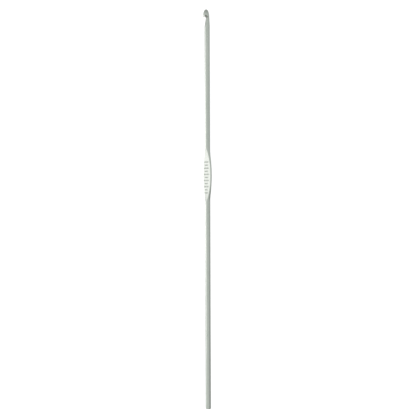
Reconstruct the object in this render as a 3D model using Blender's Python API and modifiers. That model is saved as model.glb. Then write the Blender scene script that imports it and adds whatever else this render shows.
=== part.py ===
"""Crochet hook for fine yarn, forged from one length of aluminium wire.

The hook lies on its handle along X, with its tip at +X. The origin is under the middle of its length, on
the surface that it lies on, and the stamped face of the thumb rest looks to +Z. On the real hook the metal
runs through from tip to end. Here it is laid out in four sections, end to end, each a simple closed solid:
the head with its throat, the shaft, the pressed thumb rest, and the handle.
"""

import math

import bmesh
import bpy
from mathutils import Matrix

MM = 0.001

# Wire: distances along it are counted from the tip
LENGTH = 150.0 * MM
WIRE_RADIUS = 1.0 * MM
END_ROUNDING = 0.22 * MM
SECTION_GAP = 0.01 * MM

# Head: a rounded nose, set off the wire's axis towards the mouth, and the neck that leads back to the wire
NOSE_LENGTH = 2.45 * MM
HEAD_RADIUS = 1.15 * MM
HEAD_OFFSET = 0.38 * MM
NECK_START = 1.3 * MM
NECK_END = 6.8 * MM
HEAD_END = 8.0 * MM
MOUTH_TURN = math.radians(32)

# Throat: heights are over the wire's axis, towards the mouth
LIP_FROM_TIP = 3.0 * MM
LIP_UNDERCUT = 0.36 * MM
THROAT_RADIUS = 0.40 * MM
THROAT_FLOOR = 0.24 * MM
THROAT_LENGTH = 3.40 * MM
THROAT_CURVE = 1.6

# Thumb rest
REST_FROM_TIP = 62.3 * MM
REST_LENGTH = 20.3 * MM
REST_START = REST_FROM_TIP - REST_LENGTH / 2
REST_END = REST_FROM_TIP + REST_LENGTH / 2
REST_HALF_WIDTH = 1.92 * MM
REST_HALF_HEIGHT = 0.90 * MM
REST_HALF_THICKNESS = 0.40 * MM
REST_LEVEL_LENGTH = 5.0 * MM
REST_RAMP_CURVE = 2.3
SWELL_LENGTH = 18.4 * MM
SWELL_CURVE = 1.3

# Rule stamped on the thumb rest: its strokes take a share of the flat's width
MARK_COUNT = 11
MARK_PITCH = 1.15 * MM
MARK_WIDTH = 0.30 * MM
MARK_DEPTH = 0.12 * MM
MARK_LONG = 0.66
MARK_SHORT = 0.45
MARK_FROM_TIP = REST_FROM_TIP + 0.8 * MM
MARK_Y = 0.2 * MM

# Facets
SIDES = 24
NOSE_RINGS = 9
NECK_RINGS = 9
REST_RINGS = 24
ARC_STEPS = 4
HOLLOW_STEPS = 8
RAMP_STEPS = 12

MARGIN = 1.0 * MM
WELD = 0.001 * MM


def remove_everything():
    """Empty the scene."""
    for old in list(bpy.data.objects):
        bpy.data.objects.remove(old, do_unlink=True)


def new_collection(name):
    """A collection in the scene."""
    collection = bpy.data.collections.new(name)
    bpy.context.scene.collection.children.link(collection)
    return collection


def new_object(name, data, collection, matrix):
    """An object in its collection and in its place."""
    made = bpy.data.objects.new(name, data)
    made.matrix_world = matrix
    collection.objects.link(made)
    return made


def aluminium(name, colour, roughness):
    """Anodised metal."""
    material = bpy.data.materials.new(name)
    material.use_nodes = True
    shader = material.node_tree.nodes["Principled BSDF"]
    shader.inputs["Base Color"].default_value = (*colour, 1.0)
    shader.inputs["Metallic"].default_value = 1.0
    shader.inputs["Roughness"].default_value = roughness
    return material


def along(from_tip):
    """X at a distance from the tip."""
    return LENGTH / 2 - from_tip


def spread(first, last, steps):
    """Evenly spaced numbers, both ends included."""
    return [first + (last - first) * k / steps for k in range(steps + 1)]


def about_axis(angle):
    """Takes an outline's Y to the direction at this angle over +Y, about the wire's axis."""
    return Matrix.Translation((0.0, 0.0, WIRE_RADIUS)) @ Matrix.Rotation(angle, 4, "X")


def ring(bm, from_tip, offset, half_width, half_height):
    """Points round the wire, set off its axis towards the mouth."""
    y_centre = offset * math.sin(MOUTH_TURN)
    z_centre = WIRE_RADIUS + offset * math.cos(MOUTH_TURN)
    points = []
    for k in range(SIDES):
        angle = 2 * math.pi * k / SIDES
        y = y_centre + half_width * math.cos(angle)
        z = z_centre + half_height * math.sin(angle)
        points.append(bm.verts.new((along(from_tip), y, z)))
    return points


def lofted(name, sections, parts):
    """A solid through the wire's sections, each given as ring() takes it. A first one of no width is a pole."""
    bm = bmesh.new()
    rings = [ring(bm, *section) for section in sections]
    for near, far in zip(rings, rings[1:]):
        for k in range(SIDES):
            after = (k + 1) % SIDES
            bm.faces.new((near[k], far[k], far[after], near[after]))
    bm.faces.new(rings[0])
    bm.faces.new(rings[-1])
    piece = new_object(name, welded(name, bm), parts, Matrix.Identity(4))
    piece.data.shade_smooth()
    piece.data.set_sharp_from_angle(angle=math.radians(30))
    return piece


def welded(name, bm):
    """The finished mesh, its points welded and its faces pointing out."""
    bmesh.ops.remove_doubles(bm, verts=bm.verts, dist=WELD)
    bmesh.ops.recalc_face_normals(bm, faces=bm.faces)
    mesh = bpy.data.meshes.new(name)
    bm.to_mesh(mesh)
    bm.free()
    return mesh


def turned(name, from_tip, to_tip, rounding, parts):
    """A round section of the wire, turned from its profile, with its far rim rounded."""
    profile = [(0.0, -from_tip), (WIRE_RADIUS, -from_tip)]
    for angle in spread(0.0, math.pi / 2, ARC_STEPS):
        radius = WIRE_RADIUS - rounding * (1.0 - math.cos(angle))
        profile.append((radius, -to_tip + rounding * (1.0 - math.sin(angle))))
    profile.append((0.0, -to_tip))
    bm = bmesh.new()
    corners = [bm.verts.new((radius, 0.0, height)) for radius, height in profile]
    for near, far in zip(corners, corners[1:]):
        bm.edges.new((near, far))
    place = Matrix.Translation((LENGTH / 2, 0.0, WIRE_RADIUS)) @ Matrix.Rotation(math.pi / 2, 4, "Y")
    piece = new_object(name, welded(name, bm), parts, place)
    screw = piece.modifiers.new("turn", "SCREW")
    screw.steps = SIDES
    screw.render_steps = SIDES
    screw.use_merge_vertices = True
    screw.merge_threshold = WELD
    return piece


def extruded(name, outline, half_thickness):
    """The mesh of a closed outline in the XY plane, extruded both ways along Z."""
    curve = bpy.data.curves.new(name, "CURVE")
    curve.dimensions = "2D"
    curve.fill_mode = "BOTH"
    curve.extrude = half_thickness
    spline = curve.splines.new("POLY")
    spline.points.add(len(outline) - 1)
    for point, (x, y) in zip(spline.points, outline):
        point.co = (x, y, 0.0, 1.0)
    spline.use_cyclic_u = True
    guide = new_object(name, curve, bpy.context.scene.collection, Matrix.Identity(4))
    depsgraph = bpy.context.evaluated_depsgraph_get()
    bm = bmesh.new()
    bm.from_mesh(bpy.data.meshes.new_from_object(guide.evaluated_get(depsgraph)))
    bpy.data.objects.remove(guide, do_unlink=True)
    return welded(name, bm)


def cut(piece, name, mesh, matrix, cutters):
    """Take a hidden cutter away from the piece."""
    cutter = new_object(name, mesh, cutters, matrix)
    cutter.hide_render = True
    cutter.display_type = "WIRE"
    boolean = piece.modifiers.new(name, "BOOLEAN")
    boolean.operation = "DIFFERENCE"
    boolean.solver = "EXACT"
    boolean.object = cutter


def throat_height(from_tip):
    """Height of the throat's floor, which rises from the lip to the wire's surface."""
    t = max(from_tip - LIP_FROM_TIP, 0.0) / THROAT_LENGTH
    return THROAT_FLOOR + (WIRE_RADIUS - THROAT_FLOOR) * t**THROAT_CURVE


def throat_outline():
    """The throat seen from the side: the lip, the round hollow behind it, and the rising floor."""
    top = HEAD_OFFSET + HEAD_RADIUS + MARGIN
    middle = LIP_FROM_TIP - LIP_UNDERCUT + THROAT_RADIUS
    lip_angle = math.acos((LIP_FROM_TIP - middle) / THROAT_RADIUS)
    outline = [(along(LIP_FROM_TIP), top)]
    for angle in spread(lip_angle, 3 * math.pi / 2, HOLLOW_STEPS):
        from_tip = middle + THROAT_RADIUS * math.cos(angle)
        height = THROAT_FLOOR + THROAT_RADIUS * (1.0 + math.sin(angle))
        outline.append((along(from_tip), height))
    for from_tip in spread(middle, LIP_FROM_TIP + THROAT_LENGTH, RAMP_STEPS)[1:]:
        outline.append((along(from_tip), throat_height(from_tip)))
    outline.append((along(HEAD_END + MARGIN), HEAD_RADIUS))
    outline.append((along(HEAD_END + MARGIN), top))
    return outline


def head_section(from_tip):
    """The head's section before the throat is cut, as ring() takes it."""
    t = min(max((from_tip - NECK_START) / (NECK_END - NECK_START), 0.0), 1.0)
    ease = t * t * (3.0 - 2.0 * t)
    ahead = max(NOSE_LENGTH - from_tip, 0.0) / NOSE_LENGTH
    radius = (HEAD_RADIUS + (WIRE_RADIUS - HEAD_RADIUS) * ease) * math.sqrt(1.0 - ahead * ahead)
    return from_tip, HEAD_OFFSET * (1.0 - ease), radius, radius


def make_head(parts, cutters):
    """The head: a blunt nose, the lip, the throat and the neck, where it meets the shaft."""
    stations = [NOSE_LENGTH * (1.0 - math.cos(turn)) for turn in spread(0.0, math.pi / 2, NOSE_RINGS)]
    stations += spread(NOSE_LENGTH, NECK_END, NECK_RINGS)[1:]
    stations.append(HEAD_END)
    sections = [head_section(from_tip) for from_tip in stations]
    head = lofted("head", sections, parts)
    head.data.materials.append(aluminium("head_metal", (0.52, 0.56, 0.52), 0.34))
    throat = extruded("throat_cutter", throat_outline(), HEAD_RADIUS + MARGIN)
    cut(head, "throat_cutter", throat, about_axis(math.pi / 2 - MOUTH_TURN), cutters)


def make_shaft(parts):
    """The plain wire between the head and the thumb rest."""
    shaft = turned("shaft", HEAD_END + SECTION_GAP, REST_START - SECTION_GAP, 0.0, parts)
    shaft.data.materials.append(aluminium("shaft_metal", (0.56, 0.60, 0.56), 0.38))


def make_handle(parts):
    """The plain wire behind the thumb rest, with its cut end rounded."""
    handle = turned("handle", REST_END + SECTION_GAP, LENGTH, END_ROUNDING, parts)
    handle.data.materials.append(aluminium("handle_metal", (0.56, 0.60, 0.56), 0.38))


def rest_swell(from_tip):
    """How far the press spreads the wire sideways: 0 at the ends of the thumb rest, 1 at its middle."""
    u = (from_tip - REST_FROM_TIP) / (SWELL_LENGTH / 2)
    return max(1.0 - u * u, 0.0) ** SWELL_CURVE


def rest_half_sizes(from_tip):
    """Half width and half height of the spread wire, before the dies flatten it."""
    swell = rest_swell(from_tip)
    half_width = WIRE_RADIUS + (REST_HALF_WIDTH - WIRE_RADIUS) * swell
    half_height = WIRE_RADIUS + (REST_HALF_HEIGHT - WIRE_RADIUS) * swell
    return half_width, half_height


def press_height(from_tip):
    """Height of the pressed face over the axis: level in the middle, with a curved ramp to each end."""
    level = REST_LEVEL_LENGTH / 2
    t = max(abs(from_tip - REST_FROM_TIP) - level, 0.0) / (REST_LENGTH / 2 - level)
    return REST_HALF_THICKNESS + (WIRE_RADIUS - REST_HALF_THICKNESS) * t**REST_RAMP_CURVE


def press_outline():
    """The die seen from the side."""
    top = WIRE_RADIUS + MARGIN
    level = REST_LEVEL_LENGTH / 2
    faces = spread(REST_START, REST_FROM_TIP - level, RAMP_STEPS)
    faces += spread(REST_FROM_TIP + level, REST_END, RAMP_STEPS)
    outline = [(along(REST_START - MARGIN), top)]
    outline += [(along(from_tip), press_height(from_tip)) for from_tip in faces]
    outline.append((along(REST_END + MARGIN), top))
    return outline


def flat_width(from_tip):
    """Width of the pressed face."""
    half_width, half_height = rest_half_sizes(from_tip)
    return 2 * half_width * math.sqrt(1.0 - (press_height(from_tip) / half_height) ** 2)


def mark_strokes():
    """The strokes of the stamped rule, long and short in turn, each sunk to an even depth."""
    bm = bmesh.new()
    for k in range(MARK_COUNT):
        from_tip = MARK_FROM_TIP + MARK_PITCH * (k - (MARK_COUNT - 1) / 2)
        length = flat_width(from_tip) * (MARK_SHORT if k % 2 else MARK_LONG)
        floor = WIRE_RADIUS + press_height(from_tip) - MARK_DEPTH
        place = Matrix.Translation((along(from_tip), MARK_Y, floor + MARGIN / 2))
        size = Matrix.Diagonal((MARK_WIDTH, length, MARGIN, 1.0))
        bmesh.ops.create_cube(bm, size=1.0, matrix=place @ size)
    return welded("mark_cutter", bm)


def make_thumb_rest(parts, cutters):
    """The thumb rest: the wire spread sideways, flattened by a die on each side, and stamped on top."""
    sections = []
    for from_tip in spread(REST_START, REST_END, REST_RINGS):
        sections.append((from_tip, 0.0, *rest_half_sizes(from_tip)))
    rest = lofted("thumb_rest", sections, parts)
    rest.data.materials.append(aluminium("thumb_rest_metal", (0.80, 0.82, 0.79), 0.42))
    die = extruded("die", press_outline(), REST_HALF_WIDTH + MARGIN)
    cut(rest, "upper_die", die, about_axis(math.pi / 2), cutters)
    cut(rest, "lower_die", die, about_axis(-math.pi / 2), cutters)
    cut(rest, "mark_cutter", mark_strokes(), Matrix.Identity(4), cutters)


def main():
    remove_everything()
    parts = new_collection("crochet_hook")
    cutters = new_collection("crochet_hook_cutters")
    make_head(parts, cutters)
    make_shaft(parts)
    make_thumb_rest(parts, cutters)
    make_handle(parts)


main()
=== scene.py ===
"""Looks of the crochet hook: one continuous wire in satin anodised aluminium, on a pale studio floor."""

import math

import bpy
import numpy as np
from mathutils import Matrix, Vector


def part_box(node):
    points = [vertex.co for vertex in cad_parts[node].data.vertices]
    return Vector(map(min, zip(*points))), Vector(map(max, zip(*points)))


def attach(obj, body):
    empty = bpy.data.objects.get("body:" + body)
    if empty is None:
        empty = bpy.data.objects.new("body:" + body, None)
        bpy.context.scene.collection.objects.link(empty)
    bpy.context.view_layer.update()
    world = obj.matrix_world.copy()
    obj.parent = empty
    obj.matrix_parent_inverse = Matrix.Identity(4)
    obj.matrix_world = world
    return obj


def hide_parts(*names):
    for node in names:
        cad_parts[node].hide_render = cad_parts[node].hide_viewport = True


MM = 0.001

# Head and throat. Distances along the wire are counted from the tip and heights from its axis, in millimetres
NOSE_LENGTH = 2.45
HEAD_RADIUS = 1.15
HEAD_OFFSET = 0.38
NECK_START = 1.3
NECK_END = 6.8
MOUTH_TURN = math.radians(32)
LIP_FROM_TIP = 3.0
LIP_UNDERCUT = 0.36
LIP_EDGE = 0.15
THROAT_RADIUS = 0.40
THROAT_MIDDLE = LIP_FROM_TIP - LIP_UNDERCUT + THROAT_RADIUS
THROAT_FLOOR = 0.24
THROAT_LENGTH = 3.40
THROAT_CURVE = 1.6
THROAT_EDGE = 0.26

# Thumb rest and the rule stamped on it
REST_HALF_HEIGHT = 0.90
REST_HALF_THICKNESS = 0.40
REST_LEVEL_LENGTH = 5.0
REST_RAMP_CURVE = 2.3
SWELL_LENGTH = 18.4
SWELL_CURVE = 1.3
REST_EDGE = 0.07
MARK_COUNT = 11
MARK_PITCH = 1.15
MARK_WIDTH = 0.30
MARK_DEPTH = 0.12
MARK_WALL = 0.08
MARK_LONG = 0.66
MARK_SHORT = 0.45
MARK_BEHIND_MIDDLE = 0.8
MARK_Y = 0.2

END_ROUNDING = 0.22

# Painted shade: a dark band that slants up behind the lip, standing in for the shade and dark reflections in
# the throat
PAINTED_SHADE_FROM_TIP = 2.68
PAINTED_SHADE_HEIGHT = 0.60
PAINTED_SHADE_SLANT = 0.53
PAINTED_SHADE_STRETCH = 0.40
PAINTED_SHADE_INNER = 0.20
PAINTED_SHADE_OUTER = 0.40

# Mesh density
COLUMNS = 160
NOSE_RINGS = 60
LIP_RINGS = 24
THROAT_RINGS = 64
SHAFT_STEP = 1.5
RAMP_STEP = 0.12
END_RINGS = 10

# Camera
ELEVATION = math.radians(50)
ROLL = math.radians(-0.18)
DISTANCE = 0.450
LENS = 103.7
AIM = Vector((0.00042, -0.00010, 0.00091))

# Studio: the floor's sweep in metres, and the softboxes over the hook
FLOOR_RADIUS = 1.0
SWEEP_RADIUS = 0.4
WALL_TOP = 1.4
SWEEP_STEPS = 12
FLOOR_STEPS = 64
LIGHT_DISTANCE = 0.8
LIGHT_COLOUR = (1.0, 0.895, 0.955)

# Sky: its levels from straight down (0) to straight up (1), and the two sides that it is dimmed towards
SKY_LEVELS = ((0.30, 0.70), (0.50, 0.81), (0.75, 0.81), (1.0, 0.86))
SKY_SLOPES = (((1.0, 0.0, 0.0), 0.15, 0.80, 0.68), ((-0.80, -0.46, -0.386), 0.54, 0.74, 0.42))


def smooth(t):
    """0 to 1 with level ends."""
    t = np.clip(t, 0.0, 1.0)
    return t * t * (3.0 - 2.0 * t)


def rounded_edge(a, b, radius):
    """Distance to the solid inside both a and b, with the edge between them rounded."""
    reach = np.hypot(np.maximum(a + radius, 0.0), np.maximum(b + radius, 0.0))
    return np.minimum(np.maximum(a, b), -radius) + reach


class Wire:
    """The hook's shape, in millimetres: s from the tip, y and z from the wire's axis."""

    def __init__(self):
        head_low, head_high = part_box("head")
        shaft_low, shaft_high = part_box("shaft")
        rest_low, rest_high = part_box("thumb_rest")
        handle_low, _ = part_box("handle")
        self.tip = head_high.x
        self.axis_height = (shaft_low.z + shaft_high.z) / 2
        self.radius = (shaft_high.z - shaft_low.z) / 2 / MM
        self.head_end = (self.tip - head_low.x) / MM
        self.rest_start = (self.tip - rest_high.x) / MM
        self.rest_end = (self.tip - rest_low.x) / MM
        self.rest_half_width = (rest_high.y - rest_low.y) / 2 / MM
        self.length = (self.tip - handle_low.x) / MM
        self.rest_middle = (self.rest_start + self.rest_end) / 2
        self.mark_middle = self.rest_middle + MARK_BEHIND_MIDDLE

    def neck(self, s):
        """How far the head has blended into the wire: 0 at the head, 1 at the shaft."""
        return smooth((s - NECK_START) / (NECK_END - NECK_START))

    def swell(self, s):
        """How far the press has spread the wire: 1 in the middle of the thumb rest."""
        u = (s - self.rest_middle) / (SWELL_LENGTH / 2)
        return np.maximum(1.0 - u * u, 0.0) ** SWELL_CURVE

    def half_sizes(self, s):
        """Half width and half height of the uncut wire."""
        head = HEAD_RADIUS + (self.radius - HEAD_RADIUS) * self.neck(s)
        wide = head + (self.rest_half_width - self.radius) * self.swell(s)
        high = head + (REST_HALF_HEIGHT - self.radius) * self.swell(s)
        return wide, high

    def throat_height(self, s):
        """Height of the throat's floor."""
        t = np.maximum(s - LIP_FROM_TIP, 0.0) / THROAT_LENGTH
        return THROAT_FLOOR + (self.radius - THROAT_FLOOR) * t**THROAT_CURVE

    def lip_wall(self, height):
        """Distance from the tip to the lip's underside: straight at the rim, hollow behind it."""
        drop = np.clip((height - THROAT_FLOOR - THROAT_RADIUS) / THROAT_RADIUS, -1.0, 1.0)
        return np.minimum(THROAT_MIDDLE - THROAT_RADIUS * np.sqrt(1.0 - drop**2), LIP_FROM_TIP)

    def flat_half_width(self, s):
        """Half the width of the pressed face."""
        wide, high = self.half_sizes(s)
        return wide * np.sqrt(np.clip(1.0 - (self.press_height(s) / high) ** 2, 0.0, 1.0))

    def press_height(self, s):
        """Height of the pressed faces."""
        level = REST_LEVEL_LENGTH / 2
        ramp = (self.rest_end - self.rest_start) / 2 - level
        t = np.maximum(np.abs(s - self.rest_middle) - level, 0.0) / ramp
        return REST_HALF_THICKNESS + (self.radius - REST_HALF_THICKNESS) * t**REST_RAMP_CURVE

    def distance(self, s, y, z):
        """Signed distance to the surface, near it: below 0 in the metal."""
        offset = HEAD_OFFSET * (1.0 - self.neck(s))
        wide, high = self.half_sizes(s)
        ahead = np.maximum(NOSE_LENGTH - s, 0.0) / NOSE_LENGTH
        across = (y - offset * math.sin(MOUTH_TURN)) / wide
        up = (z - offset * math.cos(MOUTH_TURN)) / high
        size = np.sqrt(ahead**2 + across**2 + up**2) + 1e-9
        slope = np.sqrt((ahead / NOSE_LENGTH) ** 2 + (across / wide) ** 2 + (up / high) ** 2) / size
        blank = (size - 1.0) / slope

        height = y * math.sin(MOUTH_TURN) + z * math.cos(MOUTH_TURN)
        notch = -rounded_edge(LIP_FROM_TIP - s, self.throat_height(s) - height, THROAT_RADIUS / 2)
        hollow = THROAT_RADIUS - np.hypot(s - THROAT_MIDDLE, height - THROAT_FLOOR - THROAT_RADIUS)
        solid = rounded_edge(blank, rounded_edge(notch, hollow, LIP_EDGE), THROAT_EDGE)

        pressed = self.press_height(s)
        edge = REST_EDGE * np.clip((self.radius - pressed) / REST_HALF_THICKNESS, 0.0, 1.0)
        solid = rounded_edge(solid, np.abs(z) - pressed, edge)
        return rounded_edge(solid, s - self.length, END_ROUNDING)

    def settle(self, points, rounds=8, step=1e-4):
        """Move points, near the surface, onto it."""
        for _ in range(rounds):
            value = self.distance(*points)
            slope = []
            for axis in range(3):
                ahead = [p + step * (k == axis) for k, p in enumerate(points)]
                behind = [p - step * (k == axis) for k, p in enumerate(points)]
                slope.append((self.distance(*ahead) - self.distance(*behind)) / (2 * step))
            slope = np.array(slope)
            points = points - slope * value / np.maximum((slope**2).sum(axis=0), 0.2)
        return points


def head_rings(wire, turn):
    """Rings from the tip over the nose, round the lip, along its underside and up the throat."""
    nose = LIP_FROM_TIP * (1.0 - np.cos(np.pi / 2 * np.arange(1, NOSE_RINGS) / NOSE_RINGS))
    climb = (np.arange(1, THROAT_RINGS + 1) / THROAT_RINGS) ** 1.4
    throat = LIP_FROM_TIP + (wire.head_end - LIP_FROM_TIP) * climb
    fold = np.arange(LIP_RINGS + 1) / LIP_RINGS
    s = np.concatenate([nose, np.full(fold.size, LIP_FROM_TIP), throat])[:, None]
    inward = np.concatenate([np.zeros(nose.size), fold, np.ones(throat.size)])[:, None]
    centre = HEAD_OFFSET - (HEAD_OFFSET + 0.2) * smooth(s / LIP_FROM_TIP) + 0.2 * wire.neck(s)
    from_mouth = (turn - (np.pi / 2 - MOUTH_TURN))[None, :]

    def reach(s):
        """Distance from the ring's centre to the uncut wire, and to the cut wire."""
        ahead = np.maximum(NOSE_LENGTH - s, 0.0) / NOSE_LENGTH
        radius = wire.half_sizes(s)[0] * np.sqrt(1.0 - ahead**2)
        off = centre - HEAD_OFFSET * (1.0 - wire.neck(s))
        uncut = -off * np.cos(from_mouth) + np.sqrt(radius**2 - (off * np.sin(from_mouth)) ** 2)
        facing = np.maximum(np.cos(from_mouth), 1e-6)
        return uncut, np.minimum(uncut, (wire.throat_height(s) - centre) / facing)

    uncut, cut = reach(np.full((s.size, turn.size), LIP_FROM_TIP))
    wall = smooth((uncut - cut) / 0.15)
    height = centre + (uncut + (cut - uncut) * inward) * np.cos(from_mouth)
    plain = LIP_FROM_TIP + 0.3 * (inward - 0.5)
    folded = plain + (wire.lip_wall(height) - plain) * wall
    near_lip = smooth(1.0 - np.abs(s - LIP_FROM_TIP) / 1.6)
    s = s + (folded - LIP_FROM_TIP) * near_lip
    uncut, cut = reach(s)
    radius = uncut + (cut - uncut) * inward
    y = centre * math.sin(MOUTH_TURN) + radius * np.cos(turn)
    z = centre * math.cos(MOUTH_TURN) + radius * np.sin(turn)
    return s, y, z


def relaxed(wire, points, rounds=8):
    """The grid of points with its spacing evened out on the surface. Its first and last rings stay."""
    for _ in range(rounds):
        inner = points[:, 1:-1]
        around = (np.roll(inner, 1, axis=2) + np.roll(inner, -1, axis=2)) / 2
        along = (points[:, :-2] + points[:, 2:]) / 2
        points = points.copy()
        points[:, 1:-1] = inner / 2 + (around + along) / 4
        points = wire.settle(points, rounds=2)
    return wire.settle(points)


def rest_stations(wire):
    """Distances of the rings along the thumb rest, close together on the walls of the stamped strokes."""
    half = MARK_WIDTH / 2
    walls = [half + MARK_WALL * (k / 3 - 0.4) for k in range(4)]
    strokes = []
    for k in range(MARK_COUNT):
        middle = wire.mark_middle + MARK_PITCH * (k - (MARK_COUNT - 1) / 2)
        strokes += [middle + side * wall for side in (-1, 1) for wall in walls]
        strokes += [middle, middle + 0.28, middle - 0.28, middle + MARK_PITCH / 2]
    plain = np.arange(wire.rest_start, wire.rest_end, RAMP_STEP)
    clear = (plain < min(strokes) - RAMP_STEP / 2) | (plain > max(strokes) + RAMP_STEP / 2)
    return np.sort(np.concatenate([strokes, plain[clear]]))


def wire_rings(wire, turn):
    """Rings of the shaft, the thumb rest, the handle and its rounded end."""
    shaft = np.arange(wire.head_end + SHAFT_STEP, wire.rest_start - SHAFT_STEP / 2, SHAFT_STEP)
    handle = np.arange(wire.rest_end, wire.length - END_ROUNDING - SHAFT_STEP / 2, SHAFT_STEP)
    corner = np.pi / 2 * np.arange(END_RINGS + 1) / END_RINGS
    end = wire.length - END_ROUNDING * (1.0 - np.sin(corner))
    shrink = END_ROUNDING * (1.0 - np.cos(corner))
    s = np.concatenate([shaft, rest_stations(wire), handle, end])
    inset = np.concatenate([np.zeros(s.size - end.size), shrink])
    wide, high = wire.half_sizes(s)
    pressed = np.where((s > wire.rest_start) & (s < wire.rest_end), wire.press_height(s), wire.radius)
    y = (wide - inset)[:, None] * np.cos(turn)
    z = (high - inset)[:, None] * np.sin(turn)
    z = np.clip(z, -pressed[:, None], pressed[:, None])
    return np.broadcast_to(s[:, None], y.shape), y, z


def stamped(wire, points):
    """The points with the rule's strokes sunk into the upper face of the thumb rest."""
    s, y, z = points
    place = (s - wire.mark_middle) / MARK_PITCH + (MARK_COUNT - 1) / 2
    number = np.clip(np.round(place), 0, MARK_COUNT - 1)
    share = np.where(number % 2 == 0, MARK_LONG, MARK_SHORT)
    middle = wire.mark_middle + MARK_PITCH * (number - (MARK_COUNT - 1) / 2)
    half_length = share * wire.flat_half_width(middle)
    along = MARK_WIDTH / 2 - np.abs(place - number) * MARK_PITCH
    across = half_length - np.abs(y - MARK_Y)
    inside = smooth(0.6 + np.minimum(along, across) / MARK_WALL)
    return np.array([s, y, z - MARK_DEPTH * inside * (z > 0.0)])


def make_hook(wire, material):
    """The hook as one closed mesh: rings from the tip to the end, with a pole at each."""
    turn = 2 * np.pi * (np.arange(COLUMNS) + 0.5) / COLUMNS
    head = relaxed(wire, wire.settle(np.array(head_rings(wire, turn))))
    rest = stamped(wire, wire.settle(np.array(wire_rings(wire, turn))))
    points = np.concatenate([head, rest], axis=1).reshape(3, -1).T
    tip = [0.0, *(HEAD_OFFSET * t for t in (math.sin(MOUTH_TURN), math.cos(MOUTH_TURN)))]
    points = np.concatenate([points, [tip, [wire.length, 0.0, 0.0]]])
    place = points * [-MM, MM, MM] + [wire.tip, 0.0, wire.axis_height]
    rings = len(points) // COLUMNS
    this = np.arange(COLUMNS)
    after = (this + 1) % COLUMNS
    faces = []
    for k in range(rings - 1):
        row = np.array([this, after, after + COLUMNS, this + COLUMNS]) + k * COLUMNS
        faces += row.T.tolist()
    last = (rings - 1) * COLUMNS
    faces += [[len(points) - 2, b, a] for a, b in zip(this.tolist(), after.tolist())]
    faces += [[len(points) - 1, last + a, last + b] for a, b in zip(this.tolist(), after.tolist())]
    mesh = bpy.data.meshes.new("crochet_hook")
    mesh.from_pydata(place.tolist(), [], faces)
    mesh.validate()
    mesh.shade_smooth()
    mesh.materials.append(material)
    hook = bpy.data.objects.new("crochet_hook", mesh)
    bpy.context.scene.collection.objects.link(hook)
    return hook


class Graph:
    """A material's nodes."""

    def __init__(self, name):
        self.material = bpy.data.materials.new(name)
        self.material.use_nodes = True
        self.tree = self.material.node_tree
        self.shader = self.tree.nodes["Principled BSDF"]
        self.place = self.add("ShaderNodeTexCoord").outputs["Object"]

    def add(self, kind, **settings):
        node = self.tree.nodes.new(kind)
        for key, value in settings.items():
            setattr(node, key, value)
        return node

    def link(self, source, target):
        self.tree.links.new(source, target)

    def noise(self, frequency, detail=3.0, roughness=0.55):
        """Noise between 0 and 1. frequency is per metre along x, y and z."""
        mapping = self.add("ShaderNodeMapping")
        mapping.inputs["Scale"].default_value = frequency
        self.link(self.place, mapping.inputs["Vector"])
        noise = self.add("ShaderNodeTexNoise")
        noise.inputs["Scale"].default_value = 1.0
        noise.inputs["Detail"].default_value = detail
        noise.inputs["Roughness"].default_value = roughness
        self.link(mapping.outputs["Vector"], noise.inputs["Vector"])
        return noise.outputs["Fac"]

    def ranged(self, value, start, end, low, high):
        """The value's range start to end, turned into low to high."""
        node = self.add("ShaderNodeMapRange")
        for key, number in zip(("From Min", "From Max", "To Min", "To Max"), (start, end, low, high)):
            node.inputs[key].default_value = number
        self.link(value, node.inputs["Value"])
        return node.outputs["Result"]

    def component(self, direction, origin):
        """How far the place is from the origin along the direction, in metres."""
        offset = self.add("ShaderNodeVectorMath", operation="SUBTRACT")
        offset.inputs[1].default_value = origin
        dot = self.add("ShaderNodeVectorMath", operation="DOT_PRODUCT")
        dot.inputs[1].default_value = direction
        self.link(self.place, offset.inputs[0])
        self.link(offset.outputs[0], dot.inputs[0])
        return dot.outputs["Value"]

    def distance(self, a, b):
        """The length of the vector (a, b)."""
        both = self.add("ShaderNodeCombineXYZ")
        length = self.add("ShaderNodeVectorMath", operation="LENGTH")
        self.link(a, both.inputs[0])
        self.link(b, both.inputs[1])
        self.link(both.outputs[0], length.inputs[0])
        return length.outputs["Value"]

    def math(self, operation, a, b):
        """A sum, product or the like of a value and another, or a number."""
        node = self.add("ShaderNodeMath", operation=operation)
        self.link(a, node.inputs[0])
        if isinstance(b, float):
            node.inputs[1].default_value = b
        else:
            self.link(b, node.inputs[1])
        return node.outputs[0]

    def mixed(self, factor, first, second):
        """A colour between the first and the second, each a colour or a node's output."""
        node = self.add("ShaderNodeMix", data_type="RGBA")
        self.link(factor, node.inputs["Factor"])
        for key, colour in ((6, first), (7, second)):
            if isinstance(colour, tuple):
                node.inputs[key].default_value = (*colour, 1.0)
            else:
                self.link(colour, node.inputs[key])
        return node.outputs[2]

    def bump(self, height, distance, strength, normal=None):
        """A surface normal from a height between 0 and 1, distance high in metres."""
        node = self.add("ShaderNodeBump")
        node.inputs["Distance"].default_value = distance
        node.inputs["Strength"].default_value = strength
        self.link(height, node.inputs["Height"])
        if normal is not None:
            self.link(normal, node.inputs["Normal"])
        return node.outputs["Normal"]


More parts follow.
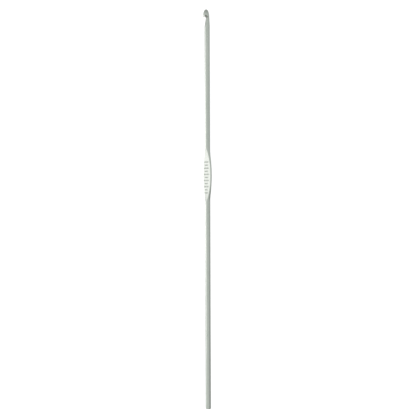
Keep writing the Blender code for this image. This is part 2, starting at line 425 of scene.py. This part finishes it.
def satin_aluminium(wire):
    """Drawn wire in a satin anodised finish, with light handling wear and a band of painted shade behind the
    lip.
    """
    g = Graph("satin_aluminium")
    lines = g.noise((90.0, 9000.0, 9000.0), detail=4.0, roughness=0.6)
    grain = g.noise((14000.0, 14000.0, 14000.0), detail=2.0)
    clouds = g.noise((140.0, 500.0, 500.0), detail=3.0)
    wear = g.noise((450.0, 900.0, 900.0), detail=5.0, roughness=0.7)

    tone = g.mixed(g.ranged(clouds, 0.35, 0.65, 0.0, 1.0), (0.535, 0.590, 0.532), (0.590, 0.640, 0.584))
    tone = g.mixed(g.ranged(lines, 0.30, 0.70, 0.0, 0.5), tone, (0.500, 0.545, 0.500))
    tone = g.mixed(g.ranged(wear, 0.60, 0.75, 0.0, 0.35), tone, (0.66, 0.68, 0.66))
    # Painted shade: the base colour is darkened in a band slanting up behind the lip, standing in for the
    # throat's shade and dark reflections
    to_mouth = Vector((0.0, math.sin(MOUTH_TURN), math.cos(MOUTH_TURN)))
    middle = Vector((wire.tip - PAINTED_SHADE_FROM_TIP * MM, 0.0, wire.axis_height)) + to_mouth * PAINTED_SHADE_HEIGHT * MM
    across = g.component(Vector((1.0, 0.0, 0.0)) - to_mouth * PAINTED_SHADE_SLANT, middle)
    painted_shade = g.distance(across, g.component(to_mouth * PAINTED_SHADE_STRETCH, middle))
    painted_shade = g.ranged(painted_shade, PAINTED_SHADE_INNER * MM, PAINTED_SHADE_OUTER * MM, 0.95, 0.0)
    painted_shade = g.math("MULTIPLY", painted_shade, g.ranged(grain, 0.25, 0.75, 0.8, 1.0))
    tone = g.mixed(painted_shade, tone, (0.215, 0.220, 0.195))
    g.link(tone, g.shader.inputs["Base Color"])

    rough = g.ranged(clouds, 0.30, 0.70, 0.25, 0.33)
    rough = g.math("ADD", rough, g.ranged(lines, 0.30, 0.70, -0.03, 0.05))
    rough = g.math("SUBTRACT", rough, g.ranged(wear, 0.58, 0.72, 0.0, 0.06))
    g.link(rough, g.shader.inputs["Roughness"])

    normal = g.bump(lines, 0.000004, 0.5)
    normal = g.bump(grain, 0.000003, 0.4, normal)
    g.link(normal, g.shader.inputs["Normal"])
    g.shader.inputs["Metallic"].default_value = 1.0
    return g.material


def studio_paper():
    """Bright white paper, with its faint tooth."""
    g = Graph("studio_paper")
    tooth = g.noise((2500.0, 2500.0, 2500.0), detail=2.0)
    g.link(g.mixed(tooth, (0.30, 0.30, 0.30), (0.32, 0.32, 0.32)), g.shader.inputs["Base Color"])
    g.shader.inputs["Roughness"].default_value = 0.9
    g.shader.inputs["Specular IOR Level"].default_value = 0.0
    g.shader.inputs["Emission Color"].default_value = (1.0, 1.0, 1.0, 1.0)
    g.shader.inputs["Emission Strength"].default_value = 0.88
    return g.material


def make_stage():
    """A round floor that sweeps up into a wall, far behind the object on every side."""
    profile = [(0.0, 0.0), (FLOOR_RADIUS, 0.0)]
    for a in np.linspace(0.1, math.pi / 2, SWEEP_STEPS):
        profile.append((FLOOR_RADIUS + SWEEP_RADIUS * math.sin(a), SWEEP_RADIUS - SWEEP_RADIUS * math.cos(a)))
    profile.append((FLOOR_RADIUS + SWEEP_RADIUS, WALL_TOP))
    steps = FLOOR_STEPS
    turns = np.arange(steps) * 2 * math.pi / steps
    points = [(r * math.cos(a), r * math.sin(a), z) for r, z in profile for a in turns]
    faces = []
    for k in range(len(profile) - 1):
        for j in range(steps):
            after = (j + 1) % steps
            near, far = k * steps, (k + 1) * steps
            faces.append((near + j, far + j, far + after, near + after))
    mesh = bpy.data.meshes.new("floor")
    mesh.from_pydata(points, [], faces)
    mesh.shade_smooth()
    mesh.materials.append(studio_paper())
    floor = bpy.data.objects.new("floor", mesh)
    bpy.context.scene.collection.objects.link(floor)
    floor.visible_glossy = False


def softbox(name, turn, x, width, length, radiance):
    """A long soft light over the hook. turn is its angle about the hook's axis, from -Y over the top."""
    data = bpy.data.lights.new(name, "AREA")
    data.shape = "RECTANGLE"
    data.size = length
    data.size_y = width
    data.energy = math.pi * length * width * radiance
    data.color = LIGHT_COLOUR
    light = bpy.data.objects.new(name, data)
    away = Vector((0.0, -math.cos(turn), math.sin(turn)))
    across = Vector((0.0, math.sin(turn), math.cos(turn)))
    along = across.cross(away)
    middle = away * LIGHT_DISTANCE + Vector((x, 0.0, 0.0))
    facing = Matrix((along, across, away)).transposed().to_4x4()
    light.matrix_world = Matrix.Translation(middle) @ facing
    light.visible_camera = False
    bpy.context.scene.collection.objects.link(light)


def make_sky():
    """The studio round the hook: dim low down and beyond the hook's ends, paler towards the ceiling."""
    world = bpy.data.worlds.new("studio")
    world.use_nodes = True
    tree = world.node_tree
    background = tree.nodes["Background"]
    place = tree.nodes.new("ShaderNodeTexCoord")
    split = tree.nodes.new("ShaderNodeSeparateXYZ")
    tree.links.new(place.outputs["Generated"], split.inputs[0])

    ramp = tree.nodes.new("ShaderNodeValToRGB")
    while len(ramp.color_ramp.elements) < len(SKY_LEVELS):
        ramp.color_ramp.elements.new(0.5)
    for element, (position, level) in zip(ramp.color_ramp.elements, SKY_LEVELS):
        element.position = position
        element.color = (level, level, level, 1.0)
    lift = tree.nodes.new("ShaderNodeMath")
    lift.operation = "MULTIPLY_ADD"
    lift.inputs[1].default_value = 0.5
    lift.inputs[2].default_value = 0.5
    tree.links.new(split.outputs["Z"], lift.inputs[0])
    tree.links.new(lift.outputs[0], ramp.inputs["Fac"])
    tree.links.new(ramp.outputs["Color"], background.inputs["Color"])

    both = tree.nodes.new("ShaderNodeMath")
    both.operation = "MULTIPLY"
    for socket, (direction, start, end, level) in zip(both.inputs, SKY_SLOPES):
        dot = tree.nodes.new("ShaderNodeVectorMath")
        dot.operation = "DOT_PRODUCT"
        dot.inputs[1].default_value = direction
        dim = tree.nodes.new("ShaderNodeMapRange")
        dim.interpolation_type = "SMOOTHSTEP"
        for key, number in zip(("From Min", "From Max", "To Min", "To Max"), (start, end, 1.0, level)):
            dim.inputs[key].default_value = number
        tree.links.new(place.outputs["Generated"], dot.inputs[0])
        tree.links.new(dot.outputs["Value"], dim.inputs["Value"])
        tree.links.new(dim.outputs["Result"], socket)
    tree.links.new(both.outputs[0], background.inputs["Strength"])
    bpy.context.scene.world = world


def make_camera():
    """Looks at the hook from 50 degrees over the floor, with its tip at the top of the picture."""
    data = bpy.data.cameras.new("camera")
    data.sensor_width = 36.0
    data.lens = LENS
    camera = bpy.data.objects.new("camera", data)
    back = Vector((0.0, -math.cos(ELEVATION), math.sin(ELEVATION)))
    up = Vector((1.0, 0.0, 0.0))
    turn = Matrix((up.cross(back), up, back)).transposed().to_4x4() @ Matrix.Rotation(ROLL, 4, "Z")
    camera.matrix_world = Matrix.Translation(AIM + back * DISTANCE) @ turn
    bpy.context.scene.collection.objects.link(camera)
    bpy.context.scene.camera = camera


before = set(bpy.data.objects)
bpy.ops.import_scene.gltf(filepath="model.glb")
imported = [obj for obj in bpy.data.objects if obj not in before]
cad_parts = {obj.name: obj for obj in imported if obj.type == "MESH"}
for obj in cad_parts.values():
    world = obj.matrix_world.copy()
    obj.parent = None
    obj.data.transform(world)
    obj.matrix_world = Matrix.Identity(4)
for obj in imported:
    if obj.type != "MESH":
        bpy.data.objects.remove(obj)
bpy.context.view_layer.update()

wire = Wire()
hook = make_hook(wire, satin_aluminium(wire))
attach(hook, "root")
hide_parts("head", "shaft", "thumb_rest", "handle")

make_stage()
make_sky()
softbox("key", math.radians(130), -0.002, 0.55, 0.40, 0.93)
softbox("rim", math.radians(163), 0.030, 0.40, 0.20, 2.2)
make_camera()
bpy.context.scene.view_settings.view_transform = "Standard"
